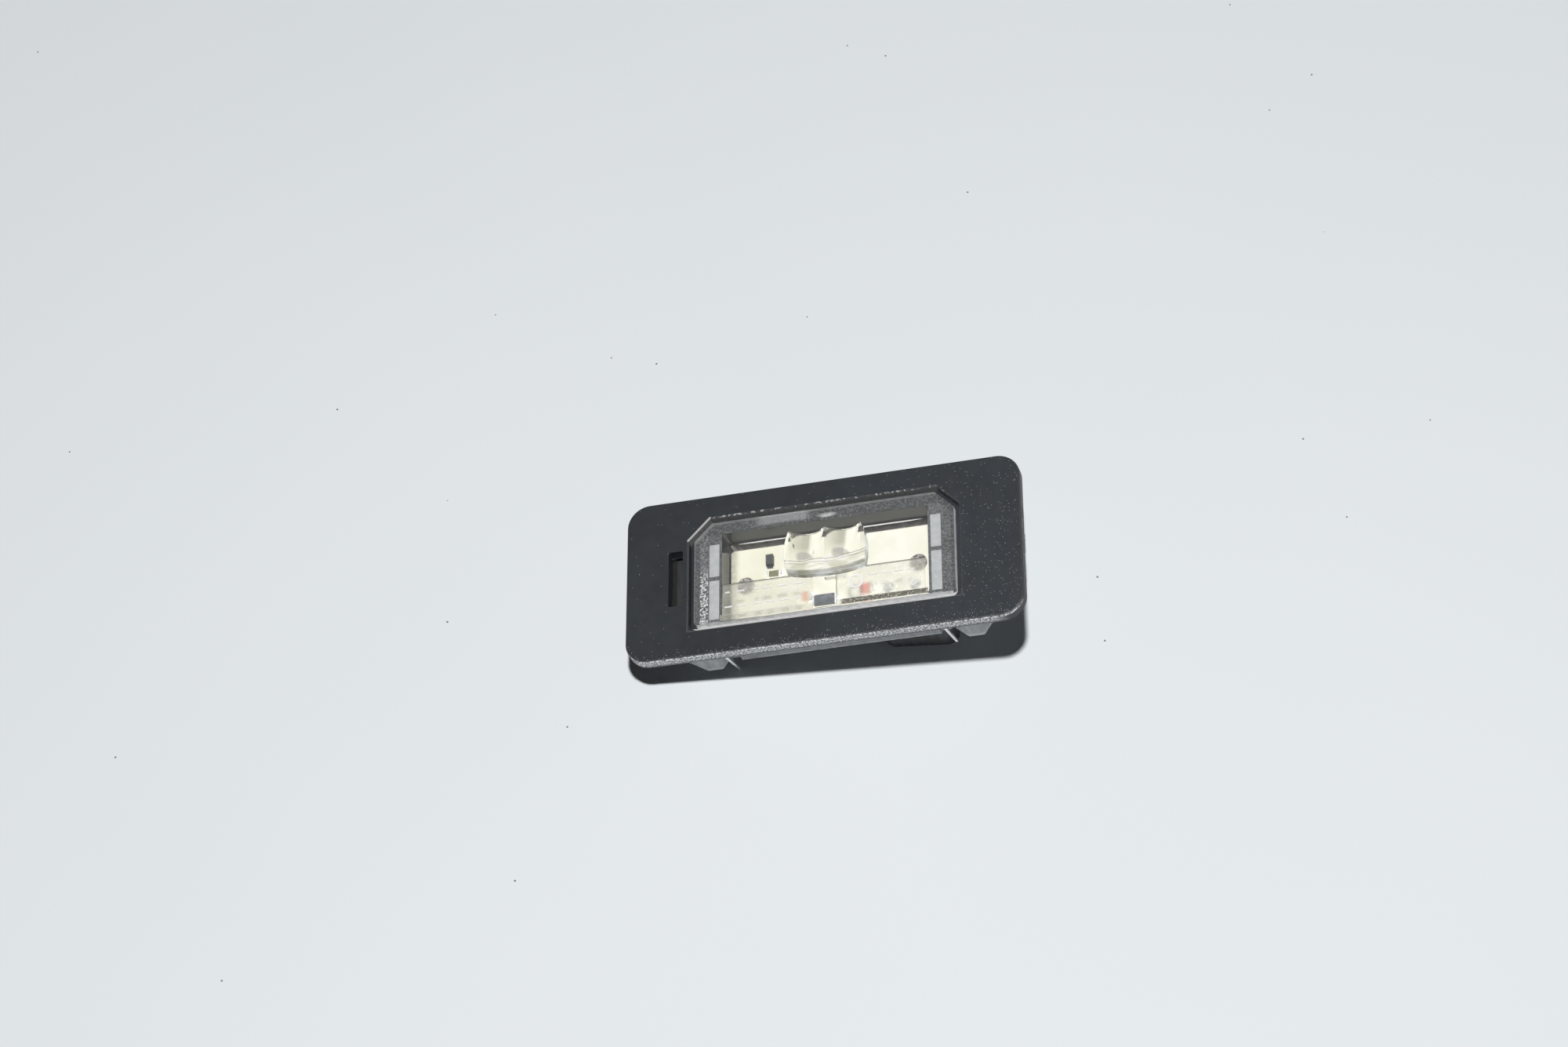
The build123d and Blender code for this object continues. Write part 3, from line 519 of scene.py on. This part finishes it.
def pick_faces(piece, test):
    """Goes to edit mode with those faces selected whose normal passes the test."""
    bpy.context.tool_settings.mesh_select_mode = (False, False, True)
    for face in piece.data.polygons:
        face.select = test(face.normal)
    for part in (piece.data.edges, piece.data.vertices):
        part.foreach_set("select", [False] * len(part))
    bpy.ops.object.mode_set(mode="EDIT")


def pick_edges(piece, test):
    """Goes to edit mode with those edges selected of which both ends in millimetres pass the test."""
    bpy.context.tool_settings.mesh_select_mode = (False, True, False)
    places = [vertex.co / MM for vertex in piece.data.vertices]
    for part in (piece.data.polygons, piece.data.vertices):
        part.foreach_set("select", [False] * len(part))
    for edge in piece.data.edges:
        edge.select = all(test(places[end]) for end in edge.vertices)
    bpy.ops.object.mode_set(mode="EDIT")


def leave():
    """Goes back to object mode."""
    bpy.ops.object.mode_set(mode="OBJECT")


def join(name, pieces):
    """Makes several pieces one."""
    bpy.ops.object.select_all(action="DESELECT")
    for piece in pieces:
        piece.select_set(True)
    bpy.context.view_layer.objects.active = pieces[0]
    bpy.ops.object.join()
    pieces[0].name = pieces[0].data.name = name
    return pieces[0]


def settle(piece, finish):
    """Gives a finished piece its body and its finish."""
    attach(piece, "root")
    finish.paint(piece)
    print(piece.name, "has", len(piece.data.polygons), "faces")


# %% [markdown]
# ## Bead under the lip
# The back wall of the window ends in a lip, with a thin bead along its lower edge. The bead is painted pale, a
# painted highlight that stands for the one bright line of light along the lip's edge. It is a rod that is
# drawn
# out to a point at both ends: each end face is extruded and then scaled down.

# %% Bead under the lip
BEAD_FROM, BEAD_TO, BEAD_TAPER, BEAD_RADIUS = -14.6, 14.8, 4.5, 0.13
BEAD_Y, BEAD_Z = 9.47, -4.55
TAPER_STEPS = ((0.6, 0.7), (0.4, 0.3))
SMOOTH_ANGLE = math.radians(50)
bead = start(
    "lip_bead", bpy.ops.mesh.primitive_cylinder_add, vertices=12, radius=BEAD_RADIUS * MM,
    depth=(BEAD_TO - BEAD_FROM) * MM, rotation=(0, math.pi / 2, 0),
    location=Vector(((BEAD_FROM + BEAD_TO) / 2, BEAD_Y, BEAD_Z)) * MM,
)
for way in (-1, 1):
    pick_faces(bead, lambda normal: normal.x * way > FACING)
    tip = Vector((BEAD_FROM if way < 0 else BEAD_TO, BEAD_Y, BEAD_Z))
    for share, scale in TAPER_STEPS:
        length = BEAD_TAPER * share
        tip.x += way * length
        bpy.ops.mesh.extrude_region_move(TRANSFORM_OT_translate={"value": (way * length * MM, 0, 0)})
        bpy.ops.transform.resize(value=(1, scale, scale), center_override=tip * MM)
    leave()
bpy.ops.object.shade_smooth_by_angle(angle=SMOOTH_ANGLE)
# Painted highlight: the bead is pale, to stand for the bright line of light along the lip's edge.
bead_highlight = Finish("bead_painted_highlight")
bead_highlight.set(Base_Color=bead_highlight.noise(0.8, 3.0).tint(grey(0.85, 0.01), grey(0.95, 0.02)))
bead_highlight.set(Roughness=bead_highlight.noise(2.0).ramp(0.3, 0.7, 0.20, 0.35))
settle(bead, bead_highlight)

# %% [markdown]
# ## Solder on the small parts
# Each part that sits flat on the board has a tinned cap at both ends, with solder drawn up against it from
# the board. A cap is a thin box round the part's end. Its outer lower edge is pulled out, which makes the
# slope of the solder, and its upper edges are bevelled.

# %% Caps and solder of the parts on the board
CAP_LENGTH, CAP_OVER, CAP_BEVEL, SOLDER_REACH, SLACK = 0.38, 0.04, 0.08, 0.30, 0.01
caps = []
for node in [*named("chip_resistor"), *named("filter"), *named("surge"), *named("power")]:
    low, high = (Vector(corner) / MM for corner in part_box(node.name))
    axis = 0 if high.x - low.x > high.y - low.y else 1
    for way in (-1, 1):
        first = low - Vector((CAP_OVER, CAP_OVER, 0))
        last = high + Vector((CAP_OVER, CAP_OVER, CAP_OVER))
        end = first[axis] if way < 0 else last[axis]
        if way < 0:
            last[axis] = end + CAP_LENGTH
        else:
            first[axis] = end - CAP_LENGTH
        cap = start_block("cap", first, last)
        pick_edges(cap, lambda place: place.z < low.z + SLACK and abs(place[axis] - end) < SLACK)
        pull = Vector((0, 0, 0))
        pull[axis] = way * SOLDER_REACH * MM
        bpy.ops.transform.translate(value=pull)
        leave()
        pick_edges(cap, lambda place: place.z > last.z - SLACK)
        bpy.ops.mesh.bevel(offset=CAP_BEVEL * MM, segments=2)
        leave()
        caps.append(cap)
settle(join("chip_end_caps", caps), finishes["solder_bright"])

# %% [markdown]
# ## Moulded bars in the fields
# The two fields of the lens carry short frosted bars, moulded a tenth of a millimetre proud of the field's
# floor. One bar is a box with its top drawn in. Bars of other lengths are made the same way, so their ends
# keep their slope. A plain ring stands in the right-hand field: it is a disc that is inset, emptied and
# raised.

# %% Bars and ring in the fields
BAR_WIDTH, BAR_LOW, BAR_HIGH, BAR_DRAFT = 0.34, 2.28, 2.42, 0.06
BAR_ROWS = {
    -4.6: ((-19.6, 1.0), (-16.9, 1.7), (-13.7, 1.0), (-11.4, 1.9), (-8.2, 2.0), (-5.0, 2.2)),
    -7.9: ((-19.4, 1.6), (-16.6, 2.0), (-13.2, 1.4), (-10.6, 1.4), (-7.6, 2.0), (-4.8, 1.2)),
    -4.9: ((10.6, 1.6), (13.2, 1.6), (15.8, 1.6), (18.4, 1.2)),
}
RING_PLACE, RING_RADIUS = Vector((7.0, -6.0, BAR_LOW)), 1.5
bars = []
for y, row in BAR_ROWS.items():
    for x, length in row:
        half = Vector((length / 2, BAR_WIDTH / 2, 0))
        bar = start_block("bar", Vector((x, y, BAR_LOW)) - half, Vector((x, y, BAR_HIGH)) + half)
        pick_faces(bar, lambda normal: normal.z > FACING)
        shrink = (1 - 2 * BAR_DRAFT / length, 1 - 2 * BAR_DRAFT / BAR_WIDTH, 1)
        bpy.ops.transform.resize(value=shrink, center_override=Vector((x, y, BAR_HIGH)) * MM)
        leave()
        bars.append(bar)
ring = start(
    "ring", bpy.ops.mesh.primitive_circle_add, vertices=48, radius=RING_RADIUS * MM,
    fill_type="NGON", location=RING_PLACE * MM,
)
pick_faces(ring, lambda normal: True)
bpy.ops.mesh.inset(thickness=BAR_WIDTH * MM)
bpy.ops.mesh.delete(type="FACE")
bpy.ops.mesh.select_all(action="SELECT")
bpy.ops.mesh.extrude_region_move(TRANSFORM_OT_translate={"value": (0, 0, (BAR_HIGH - BAR_LOW) * MM)})
bpy.ops.mesh.select_all(action="SELECT")
bpy.ops.mesh.normals_make_consistent(inside=False)
leave()
bar_finish = Finish("bar_frost")
bar_finish.set(Base_Color=bar_finish.noise(1.5, 3.0).tint(grey(0.80, 0.01), grey(0.92, 0.01)))
bar_finish.set(Roughness=bar_finish.noise(3.0).ramp(0.3, 0.7, 0.45, 0.65))
settle(join("field_bars", [*bars, ring]), bar_finish)

# %% [markdown]
# ## Marks of the mould
# The back of the housing shows where the tool pushed it out: round ejector marks, each a low disc with a
# raised rim. The plastic was shot in near the middle, where a broken stub is left. The mark is modelled once
# and copied, each copy with its own mesh.

# %% Ejector marks
REAR_Z, MARK_RADIUS, MARK_RIM, MARK_HEIGHT, MARK_HOLLOW = -11.85, 1.5, 0.22, 0.12, 0.7
MARKS = [(-17.5, 8.5), (-17.5, -8.5), (-3.5, 8.5), (-3.5, -8.5), (17.5, 8.5), (9.0, 8.5)]
first_mark = start(
    "mark", bpy.ops.mesh.primitive_cylinder_add, vertices=40, radius=MARK_RADIUS * MM, depth=MARK_HEIGHT * MM,
    location=Vector((*MARKS[0], REAR_Z - MARK_HEIGHT / 2)) * MM,
)
pick_faces(first_mark, lambda normal: normal.z < -FACING)
bpy.ops.mesh.inset(thickness=MARK_RIM * MM)
bpy.ops.transform.translate(value=(0, 0, MARK_HEIGHT * MARK_HOLLOW * MM))
leave()
marks = [first_mark]
for x, y in MARKS[1:]:
    bpy.ops.object.select_all(action="DESELECT")
    first_mark.select_set(True)
    bpy.ops.object.duplicate(linked=False)
    mark = bpy.context.selected_objects[0]
    bpy.context.view_layer.objects.active = mark
    bpy.ops.transform.translate(value=((x - MARKS[0][0]) * MM, (y - MARKS[0][1]) * MM, 0))
    bpy.ops.object.transform_apply(location=True, rotation=True, scale=True)
    marks.append(mark)
print("Ejector marks:", len(marks))

# %% Gate stub
GATE_PLACE, GATE_RADIUS, GATE_BASE, GATE_HEIGHT = Vector((-6.0, 0.0, REAR_Z)), 1.1, 0.2, 0.5
GATE_SHOULDER, GATE_BREAK, GATE_SLANT = 0.35, 0.2, math.radians(14)
gate_end = GATE_PLACE - Vector((0, 0, GATE_BASE + GATE_HEIGHT))
gate = start(
    "gate", bpy.ops.mesh.primitive_cylinder_add, vertices=24, radius=GATE_RADIUS * MM, depth=GATE_BASE * MM,
    location=(GATE_PLACE - Vector((0, 0, GATE_BASE / 2))) * MM,
)
pick_faces(gate, lambda normal: normal.z < -FACING)
bpy.ops.mesh.inset(thickness=GATE_SHOULDER * MM)
bpy.ops.mesh.extrude_region_move(TRANSFORM_OT_translate={"value": (0, 0, -GATE_HEIGHT * MM)})
bpy.ops.mesh.inset(thickness=GATE_BREAK * MM)
bpy.ops.transform.rotate(value=GATE_SLANT, orient_axis="X", center_override=gate_end * MM)
leave()
settle(join("mould_marks", [*marks, gate]), housing)

# %% [markdown]
# ## Table, light and camera
# The lamp lies on its back on a pale table. The plug socket props up one end, so the table runs past the lamp
# at a slant, and the lamp keeps its own upright frame. The table is see-through from below, so that the back
# of the lamp can be looked at, and it fades out far from the lamp, so that no edge of it shows. One small
# lamp overhead gives a sharp shadow. The room fills the shadow in only a little, because its walls are dim,
# but it is pale where the camera looks straight at it or through the lens.

# %% Table
LEFT_TIP = Vector((-21.9, 0, -14.8)) * MM
SOCKET_EDGE = Vector((22.1, 0, -23.05)) * MM
TABLE_SIZE, FADE_FROM, FADE_TO = 1.6, 240, 480
lie = SOCKET_EDGE - LEFT_TIP
tilt = math.atan2(-lie.z, lie.x)
bpy.ops.object.select_all(action="DESELECT")
bpy.ops.mesh.primitive_plane_add(size=TABLE_SIZE)
table = bpy.context.object
table.name = "table"
bpy.ops.object.mode_set(mode="EDIT")
bpy.ops.transform.rotate(value=-tilt, orient_axis="Y", center_override=(0, 0, 0))
bpy.ops.transform.translate(value=LEFT_TIP)
leave()
floor = Finish("table_pale")
pale = floor.noise(0.01).tint((0.702, 0.739, 0.768, 1), (0.730, 0.758, 0.778, 1))
floor.set(Base_Color=floor.specks(0.12, 0.22, 0.3).tint(pale, grey(0.20)))
floor.set(Roughness=0.6, Specular_IOR_Level=0.05)
away = (floor.x * floor.x + floor.y * floor.y).math("SQRT").ramp(FADE_FROM, FADE_TO)
from_below = floor.node("ShaderNodeNewGeometry", output="Backfacing")
floor.layer(from_below.most(away), "ShaderNodeBsdfTransparent")
floor.paint(table)
print("Table tilt in degrees:", round(math.degrees(tilt), 2))

# %% Light
LIGHT_FROM = Vector((0.25, -0.20, 1.0)).normalized()
LIGHT_DISTANCE, LIGHT_SIZE, LIGHT_WATTS = 1.2, 0.06, 15.4
ROOM_DIM, ROOM_SHINE, ROOM_SEEN = grey(0.035, -0.02), grey(0.45, -0.02), (0.76, 0.80, 0.83, 1)
lamp_data = bpy.data.lights.new("overhead", "AREA")
lamp_data.shape = "DISK"
lamp_data.size = LIGHT_SIZE
lamp_data.energy = LIGHT_WATTS
lamp = bpy.data.objects.new("overhead", lamp_data)
lamp.location = LIGHT_FROM * LIGHT_DISTANCE
lamp.rotation_euler = LIGHT_FROM.to_track_quat("Z", "Y").to_euler()
bpy.context.scene.collection.objects.link(lamp)
world = bpy.data.worlds.new("pale_room")
bpy.context.scene.world = world
world.use_nodes = True
room = Graph(world.node_tree)
seen = room.node("ShaderNodeLightPath", output="Is Camera Ray")
through = room.node("ShaderNodeLightPath", output="Is Transmission Ray")
shine = room.node("ShaderNodeLightPath", output="Is Glossy Ray")
level = seen.most(through).tint(shine.tint(ROOM_DIM, ROOM_SHINE), ROOM_SEEN)
room.fill(world.node_tree.nodes["Background"], {"Color": level})
print("Light and room ready")

# %% Camera
FOCAL_LENGTH_MM, SENSOR_WIDTH_MM = 81.9, 36.0
camera_data = bpy.data.cameras.new("camera")
camera_data.lens = FOCAL_LENGTH_MM
camera_data.sensor_width = SENSOR_WIDTH_MM
camera = bpy.data.objects.new("camera", camera_data)
right = Vector((0.96139, -0.003812, -0.275275))
up = Vector((0.136198, 0.875421, 0.463739))
back = Vector((0.239178, -0.483309, 0.842087))
eye = Vector((164.266, -338.218, 607.922)) * MM
camera.matrix_world = Matrix.Translation(eye) @ Matrix((right, up, back)).transposed().to_4x4()
bpy.context.scene.collection.objects.link(camera)
bpy.context.scene.camera = camera
bpy.context.scene.view_settings.view_transform = "Standard"
print("Camera at", tuple(round(v, 3) for v in eye))
